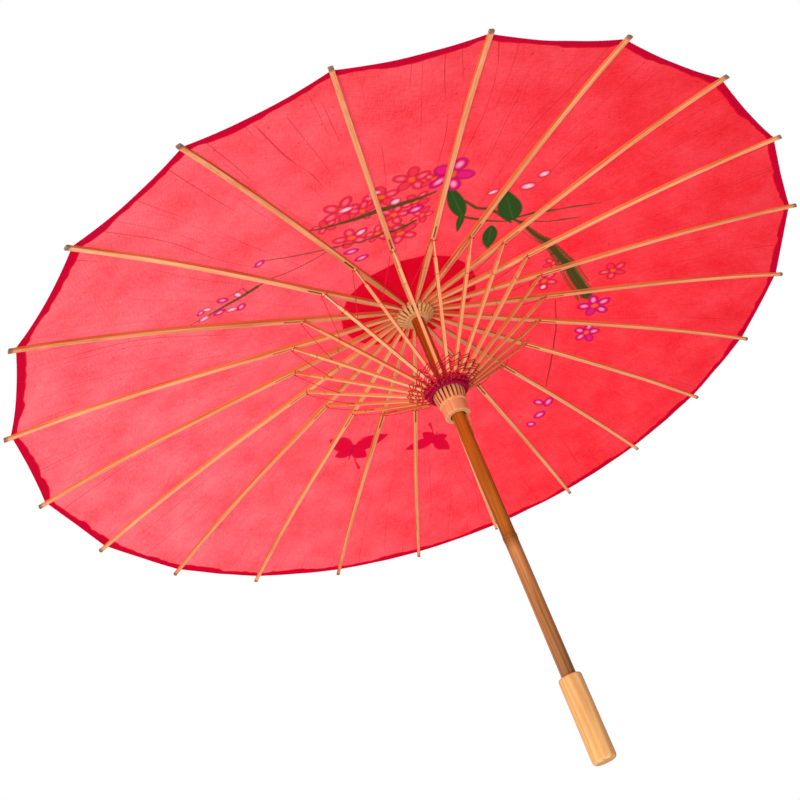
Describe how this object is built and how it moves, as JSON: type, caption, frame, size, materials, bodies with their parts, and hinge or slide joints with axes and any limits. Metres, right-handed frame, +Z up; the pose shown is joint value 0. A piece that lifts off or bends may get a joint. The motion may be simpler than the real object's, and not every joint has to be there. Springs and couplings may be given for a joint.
{
  "type": "folding parasol",
  "caption": "Open folding parasol with split-bamboo ribs and stretchers, a slotted runner on a bamboo pole, a turned grip and a red painted fabric canopy.",
  "frame": {"origin": "centre of the grip's bottom face", "axes": "+Z up the pole to the canopy, +X along rib 1; shown open"},
  "size_m": [0.842, 0.834, 0.546],
  "materials": {
    "rib_bamboo": "split bamboo, satin",
    "pole_bamboo": "whole bamboo, smooth",
    "turned_wood": "turned, satin",
    "red_fabric": "thin dyed plain weave",
    "crimson_thread": "twisted thread",
    "pale_thread": "twisted thread"
  },
  "bodies": {
    "root": {"pole": "pole_bamboo", "grip": "turned_wood", "top_notch": "turned_wood", "catch_pin": "rib_bamboo", "hub_cord": "pale_thread", "stay_thread": "crimson_thread", "canopy": "red_fabric", "canopy_hem": "red_fabric", "centre_patch": "red_fabric", "top_cap": "turned_wood"},
    "runner": {"runner": "turned_wood", "runner_cord": "crimson_thread", "lacing_thread": "crimson_thread"},
    "catch": {"catch": "rib_bamboo"},
    "rib_01": {"rib_01": "rib_bamboo"},
    "stretcher_01": {"stretcher_01": "rib_bamboo"},
    "rib_02": {"rib_02": "rib_bamboo"},
    "stretcher_02": {"stretcher_02": "rib_bamboo"},
    "rib_03": {"rib_03": "rib_bamboo"},
    "stretcher_03": {"stretcher_03": "rib_bamboo"},
    "rib_04": {"rib_04": "rib_bamboo"},
    "stretcher_04": {"stretcher_04": "rib_bamboo"},
    "rib_05": {"rib_05": "rib_bamboo"},
    "stretcher_05": {"stretcher_05": "rib_bamboo"},
    "rib_06": {"rib_06": "rib_bamboo"},
    "stretcher_06": {"stretcher_06": "rib_bamboo"},
    "rib_07": {"rib_07": "rib_bamboo"},
    "stretcher_07": {"stretcher_07": "rib_bamboo"},
    "rib_08": {"rib_08": "rib_bamboo"},
    "stretcher_08": {"stretcher_08": "rib_bamboo"},
    "rib_09": {"rib_09": "rib_bamboo"},
    "stretcher_09": {"stretcher_09": "rib_bamboo"},
    "rib_10": {"rib_10": "rib_bamboo"},
    "stretcher_10": {"stretcher_10": "rib_bamboo"},
    "rib_11": {"rib_11": "rib_bamboo"},
    "stretcher_11": {"stretcher_11": "rib_bamboo"},
    "rib_12": {"rib_12": "rib_bamboo"},
    "stretcher_12": {"stretcher_12": "rib_bamboo"},
    "rib_13": {"rib_13": "rib_bamboo"},
    "stretcher_13": {"stretcher_13": "rib_bamboo"},
    "rib_14": {"rib_14": "rib_bamboo"},
    "stretcher_14": {"stretcher_14": "rib_bamboo"},
    "rib_15": {"rib_15": "rib_bamboo"},
    "stretcher_15": {"stretcher_15": "rib_bamboo"},
    "rib_16": {"rib_16": "rib_bamboo"},
    "stretcher_16": {"stretcher_16": "rib_bamboo"},
    "rib_17": {"rib_17": "rib_bamboo"},
    "stretcher_17": {"stretcher_17": "rib_bamboo"},
    "rib_18": {"rib_18": "rib_bamboo"},
    "stretcher_18": {"stretcher_18": "rib_bamboo"},
    "rib_19": {"rib_19": "rib_bamboo"},
    "stretcher_19": {"stretcher_19": "rib_bamboo"},
    "rib_20": {"rib_20": "rib_bamboo"},
    "stretcher_20": {"stretcher_20": "rib_bamboo"},
    "rib_21": {"rib_21": "rib_bamboo"},
    "stretcher_21": {"stretcher_21": "rib_bamboo"},
    "rib_22": {"rib_22": "rib_bamboo"},
    "stretcher_22": {"stretcher_22": "rib_bamboo"}
  },
  "joints": [
    {"name": "runner_slide", "type": "slide", "parent": "root", "child": "runner", "axis": [0, 0, -1], "range_m": [0, 0.17514], "deforming": ["canopy", "canopy_hem", "centre_patch", "stay_thread", "lacing_thread", "runner_cord", "catch"]},
    {"name": "catch_press", "type": "hinge", "parent": "root", "child": "catch", "pos_m": [0, 0.0026, 0.334], "axis": [1, 0, 0], "range_deg": [0, 7]},
    {"name": "rib_01_fold", "type": "hinge", "parent": "root", "child": "rib_01", "pos_m": [0.017, 0, 0.519], "axis": [0, 1, 0], "range_deg": [0, 73.06]},
    {"name": "stretcher_01_fold", "type": "hinge", "parent": "rib_01", "child": "stretcher_01", "pos_m": [0.147, 0, 0.489], "axis": [0, 1, 0], "range_deg": [-126.44, 0]},
    {"name": "rib_02_fold", "type": "hinge", "parent": "root", "child": "rib_02", "pos_m": [0.01631, 0.00479, 0.519], "axis": [-0.2817, 0.9595, 0], "range_deg": [0, 73.06]},
    {"name": "stretcher_02_fold", "type": "hinge", "parent": "rib_02", "child": "stretcher_02", "pos_m": [0.14105, 0.04141, 0.489], "axis": [-0.2817, 0.9595, 0], "range_deg": [-126.44, 0]},
    {"name": "rib_03_fold", "type": "hinge", "parent": "root", "child": "rib_03", "pos_m": [0.0143, 0.00919, 0.519], "axis": [-0.5406, 0.8413, 0], "range_deg": [0, 73.06]},
    {"name": "stretcher_03_fold", "type": "hinge", "parent": "rib_03", "child": "stretcher_03", "pos_m": [0.12366, 0.07947, 0.489], "axis": [-0.5406, 0.8413, 0], "range_deg": [-126.44, 0]},
    {"name": "rib_04_fold", "type": "hinge", "parent": "root", "child": "rib_04", "pos_m": [0.01113, 0.01285, 0.519], "axis": [-0.7557, 0.6549, 0], "range_deg": [0, 73.06]},
    {"name": "stretcher_04_fold", "type": "hinge", "parent": "rib_04", "child": "stretcher_04", "pos_m": [0.09626, 0.1111, 0.489], "axis": [-0.7557, 0.6549, 0], "range_deg": [-126.44, 0]},
    {"name": "rib_05_fold", "type": "hinge", "parent": "root", "child": "rib_05", "pos_m": [0.00706, 0.01546, 0.519], "axis": [-0.9096, 0.4154, 0], "range_deg": [0, 73.06]},
    {"name": "stretcher_05_fold", "type": "hinge", "parent": "rib_05", "child": "stretcher_05", "pos_m": [0.06107, 0.13372, 0.489], "axis": [-0.9096, 0.4154, 0], "range_deg": [-126.44, 0]},
    {"name": "rib_06_fold", "type": "hinge", "parent": "root", "child": "rib_06", "pos_m": [0.00242, 0.01683, 0.519], "axis": [-0.9898, 0.1423, 0], "range_deg": [0, 73.06]},
    {"name": "stretcher_06_fold", "type": "hinge", "parent": "rib_06", "child": "stretcher_06", "pos_m": [0.02092, 0.1455, 0.489], "axis": [-0.9898, 0.1423, 0], "range_deg": [-126.44, 0]},
    {"name": "rib_07_fold", "type": "hinge", "parent": "root", "child": "rib_07", "pos_m": [-0.00242, 0.01683, 0.519], "axis": [-0.9898, -0.1423, 0], "range_deg": [0, 73.06]},
    {"name": "stretcher_07_fold", "type": "hinge", "parent": "rib_07", "child": "stretcher_07", "pos_m": [-0.02092, 0.1455, 0.489], "axis": [-0.9898, -0.1423, 0], "range_deg": [-126.44, 0]},
    {"name": "rib_08_fold", "type": "hinge", "parent": "root", "child": "rib_08", "pos_m": [-0.00706, 0.01546, 0.519], "axis": [-0.9096, -0.4154, 0], "range_deg": [0, 73.06]},
    {"name": "stretcher_08_fold", "type": "hinge", "parent": "rib_08", "child": "stretcher_08", "pos_m": [-0.06107, 0.13372, 0.489], "axis": [-0.9096, -0.4154, 0], "range_deg": [-126.44, 0]},
    {"name": "rib_09_fold", "type": "hinge", "parent": "root", "child": "rib_09", "pos_m": [-0.01113, 0.01285, 0.519], "axis": [-0.7557, -0.6549, 0], "range_deg": [0, 73.06]},
    {"name": "stretcher_09_fold", "type": "hinge", "parent": "rib_09", "child": "stretcher_09", "pos_m": [-0.09626, 0.1111, 0.489], "axis": [-0.7557, -0.6549, 0], "range_deg": [-126.44, 0]},
    {"name": "rib_10_fold", "type": "hinge", "parent": "root", "child": "rib_10", "pos_m": [-0.0143, 0.00919, 0.519], "axis": [-0.5406, -0.8413, 0], "range_deg": [0, 73.06]},
    {"name": "stretcher_10_fold", "type": "hinge", "parent": "rib_10", "child": "stretcher_10", "pos_m": [-0.12366, 0.07947, 0.489], "axis": [-0.5406, -0.8413, 0], "range_deg": [-126.44, 0]},
    {"name": "rib_11_fold", "type": "hinge", "parent": "root", "child": "rib_11", "pos_m": [-0.01631, 0.00479, 0.519], "axis": [-0.2817, -0.9595, 0], "range_deg": [0, 73.06]},
    {"name": "stretcher_11_fold", "type": "hinge", "parent": "rib_11", "child": "stretcher_11", "pos_m": [-0.14105, 0.04141, 0.489], "axis": [-0.2817, -0.9595, 0], "range_deg": [-126.44, 0]},
    {"name": "rib_12_fold", "type": "hinge", "parent": "root", "child": "rib_12", "pos_m": [-0.017, 0, 0.519], "axis": [0, -1, 0], "range_deg": [0, 73.06]},
    {"name": "stretcher_12_fold", "type": "hinge", "parent": "rib_12", "child": "stretcher_12", "pos_m": [-0.147, 0, 0.489], "axis": [0, -1, 0], "range_deg": [-126.44, 0]},
    {"name": "rib_13_fold", "type": "hinge", "parent": "root", "child": "rib_13", "pos_m": [-0.01631, -0.00479, 0.519], "axis": [0.2817, -0.9595, 0], "range_deg": [0, 73.06]},
    {"name": "stretcher_13_fold", "type": "hinge", "parent": "rib_13", "child": "stretcher_13", "pos_m": [-0.14105, -0.04141, 0.489], "axis": [0.2817, -0.9595, 0], "range_deg": [-126.44, 0]},
    {"name": "rib_14_fold", "type": "hinge", "parent": "root", "child": "rib_14", "pos_m": [-0.0143, -0.00919, 0.519], "axis": [0.5406, -0.8413, 0], "range_deg": [0, 73.06]},
    {"name": "stretcher_14_fold", "type": "hinge", "parent": "rib_14", "child": "stretcher_14", "pos_m": [-0.12366, -0.07947, 0.489], "axis": [0.5406, -0.8413, 0], "range_deg": [-126.44, 0]},
    {"name": "rib_15_fold", "type": "hinge", "parent": "root", "child": "rib_15", "pos_m": [-0.01113, -0.01285, 0.519], "axis": [0.7557, -0.6549, 0], "range_deg": [0, 73.06]},
    {"name": "stretcher_15_fold", "type": "hinge", "parent": "rib_15", "child": "stretcher_15", "pos_m": [-0.09626, -0.1111, 0.489], "axis": [0.7557, -0.6549, 0], "range_deg": [-126.44, 0]},
    {"name": "rib_16_fold", "type": "hinge", "parent": "root", "child": "rib_16", "pos_m": [-0.00706, -0.01546, 0.519], "axis": [0.9096, -0.4154, 0], "range_deg": [0, 73.06]},
    {"name": "stretcher_16_fold", "type": "hinge", "parent": "rib_16", "child": "stretcher_16", "pos_m": [-0.06107, -0.13372, 0.489], "axis": [0.9096, -0.4154, 0], "range_deg": [-126.44, 0]},
    {"name": "rib_17_fold", "type": "hinge", "parent": "root", "child": "rib_17", "pos_m": [-0.00242, -0.01683, 0.519], "axis": [0.9898, -0.1423, 0], "range_deg": [0, 73.06]},
    {"name": "stretcher_17_fold", "type": "hinge", "parent": "rib_17", "child": "stretcher_17", "pos_m": [-0.02092, -0.1455, 0.489], "axis": [0.9898, -0.1423, 0], "range_deg": [-126.44, 0]},
    {"name": "rib_18_fold", "type": "hinge", "parent": "root", "child": "rib_18", "pos_m": [0.00242, -0.01683, 0.519], "axis": [0.9898, 0.1423, 0], "range_deg": [0, 73.06]},
    {"name": "stretcher_18_fold", "type": "hinge", "parent": "rib_18", "child": "stretcher_18", "pos_m": [0.02092, -0.1455, 0.489], "axis": [0.9898, 0.1423, 0], "range_deg": [-126.44, 0]},
    {"name": "rib_19_fold", "type": "hinge", "parent": "root", "child": "rib_19", "pos_m": [0.00706, -0.01546, 0.519], "axis": [0.9096, 0.4154, 0], "range_deg": [0, 73.06]},
    {"name": "stretcher_19_fold", "type": "hinge", "parent": "rib_19", "child": "stretcher_19", "pos_m": [0.06107, -0.13372, 0.489], "axis": [0.9096, 0.4154, 0], "range_deg": [-126.44, 0]},
    {"name": "rib_20_fold", "type": "hinge", "parent": "root", "child": "rib_20", "pos_m": [0.01113, -0.01285, 0.519], "axis": [0.7557, 0.6549, 0], "range_deg": [0, 73.06]},
    {"name": "stretcher_20_fold", "type": "hinge", "parent": "rib_20", "child": "stretcher_20", "pos_m": [0.09626, -0.1111, 0.489], "axis": [0.7557, 0.6549, 0], "range_deg": [-126.44, 0]},
    {"name": "rib_21_fold", "type": "hinge", "parent": "root", "child": "rib_21", "pos_m": [0.0143, -0.00919, 0.519], "axis": [0.5406, 0.8413, 0], "range_deg": [0, 73.06]},
    {"name": "stretcher_21_fold", "type": "hinge", "parent": "rib_21", "child": "stretcher_21", "pos_m": [0.12366, -0.07947, 0.489], "axis": [0.5406, 0.8413, 0], "range_deg": [-126.44, 0]},
    {"name": "rib_22_fold", "type": "hinge", "parent": "root", "child": "rib_22", "pos_m": [0.01631, -0.00479, 0.519], "axis": [0.2817, 0.9595, 0], "range_deg": [0, 73.06]},
    {"name": "stretcher_22_fold", "type": "hinge", "parent": "rib_22", "child": "stretcher_22", "pos_m": [0.14105, -0.04141, 0.489], "axis": [0.2817, 0.9595, 0], "range_deg": [-126.44, 0]}
  ],
  "couplings": [
    {"joint": "rib_01_fold", "follows": "runner_slide", "rad_per_m": 7.2751},
    {"joint": "stretcher_01_fold", "follows": "runner_slide", "rad_per_m": -12.595},
    {"joint": "rib_02_fold", "follows": "runner_slide", "rad_per_m": 7.2751},
    {"joint": "stretcher_02_fold", "follows": "runner_slide", "rad_per_m": -12.595},
    {"joint": "rib_03_fold", "follows": "runner_slide", "rad_per_m": 7.2751},
    {"joint": "stretcher_03_fold", "follows": "runner_slide", "rad_per_m": -12.595},
    {"joint": "rib_04_fold", "follows": "runner_slide", "rad_per_m": 7.2751},
    {"joint": "stretcher_04_fold", "follows": "runner_slide", "rad_per_m": -12.595},
    {"joint": "rib_05_fold", "follows": "runner_slide", "rad_per_m": 7.2751},
    {"joint": "stretcher_05_fold", "follows": "runner_slide", "rad_per_m": -12.595},
    {"joint": "rib_06_fold", "follows": "runner_slide", "rad_per_m": 7.2751},
    {"joint": "stretcher_06_fold", "follows": "runner_slide", "rad_per_m": -12.595},
    {"joint": "rib_07_fold", "follows": "runner_slide", "rad_per_m": 7.2751},
    {"joint": "stretcher_07_fold", "follows": "runner_slide", "rad_per_m": -12.595},
    {"joint": "rib_08_fold", "follows": "runner_slide", "rad_per_m": 7.2751},
    {"joint": "stretcher_08_fold", "follows": "runner_slide", "rad_per_m": -12.595},
    {"joint": "rib_09_fold", "follows": "runner_slide", "rad_per_m": 7.2751},
    {"joint": "stretcher_09_fold", "follows": "runner_slide", "rad_per_m": -12.595},
    {"joint": "rib_10_fold", "follows": "runner_slide", "rad_per_m": 7.2751},
    {"joint": "stretcher_10_fold", "follows": "runner_slide", "rad_per_m": -12.595},
    {"joint": "rib_11_fold", "follows": "runner_slide", "rad_per_m": 7.2751},
    {"joint": "stretcher_11_fold", "follows": "runner_slide", "rad_per_m": -12.595},
    {"joint": "rib_12_fold", "follows": "runner_slide", "rad_per_m": 7.2751},
    {"joint": "stretcher_12_fold", "follows": "runner_slide", "rad_per_m": -12.595},
    {"joint": "rib_13_fold", "follows": "runner_slide", "rad_per_m": 7.2751},
    {"joint": "stretcher_13_fold", "follows": "runner_slide", "rad_per_m": -12.595},
    {"joint": "rib_14_fold", "follows": "runner_slide", "rad_per_m": 7.2751},
    {"joint": "stretcher_14_fold", "follows": "runner_slide", "rad_per_m": -12.595},
    {"joint": "rib_15_fold", "follows": "runner_slide", "rad_per_m": 7.2751},
    {"joint": "stretcher_15_fold", "follows": "runner_slide", "rad_per_m": -12.595},
    {"joint": "rib_16_fold", "follows": "runner_slide", "rad_per_m": 7.2751},
    {"joint": "stretcher_16_fold", "follows": "runner_slide", "rad_per_m": -12.595},
    {"joint": "rib_17_fold", "follows": "runner_slide", "rad_per_m": 7.2751},
    {"joint": "stretcher_17_fold", "follows": "runner_slide", "rad_per_m": -12.595},
    {"joint": "rib_18_fold", "follows": "runner_slide", "rad_per_m": 7.2751},
    {"joint": "stretcher_18_fold", "follows": "runner_slide", "rad_per_m": -12.595},
    {"joint": "rib_19_fold", "follows": "runner_slide", "rad_per_m": 7.2751},
    {"joint": "stretcher_19_fold", "follows": "runner_slide", "rad_per_m": -12.595},
    {"joint": "rib_20_fold", "follows": "runner_slide", "rad_per_m": 7.2751},
    {"joint": "stretcher_20_fold", "follows": "runner_slide", "rad_per_m": -12.595},
    {"joint": "rib_21_fold", "follows": "runner_slide", "rad_per_m": 7.2751},
    {"joint": "stretcher_21_fold", "follows": "runner_slide", "rad_per_m": -12.595},
    {"joint": "rib_22_fold", "follows": "runner_slide", "rad_per_m": 7.2751},
    {"joint": "stretcher_22_fold", "follows": "runner_slide", "rad_per_m": -12.595}
  ]
}
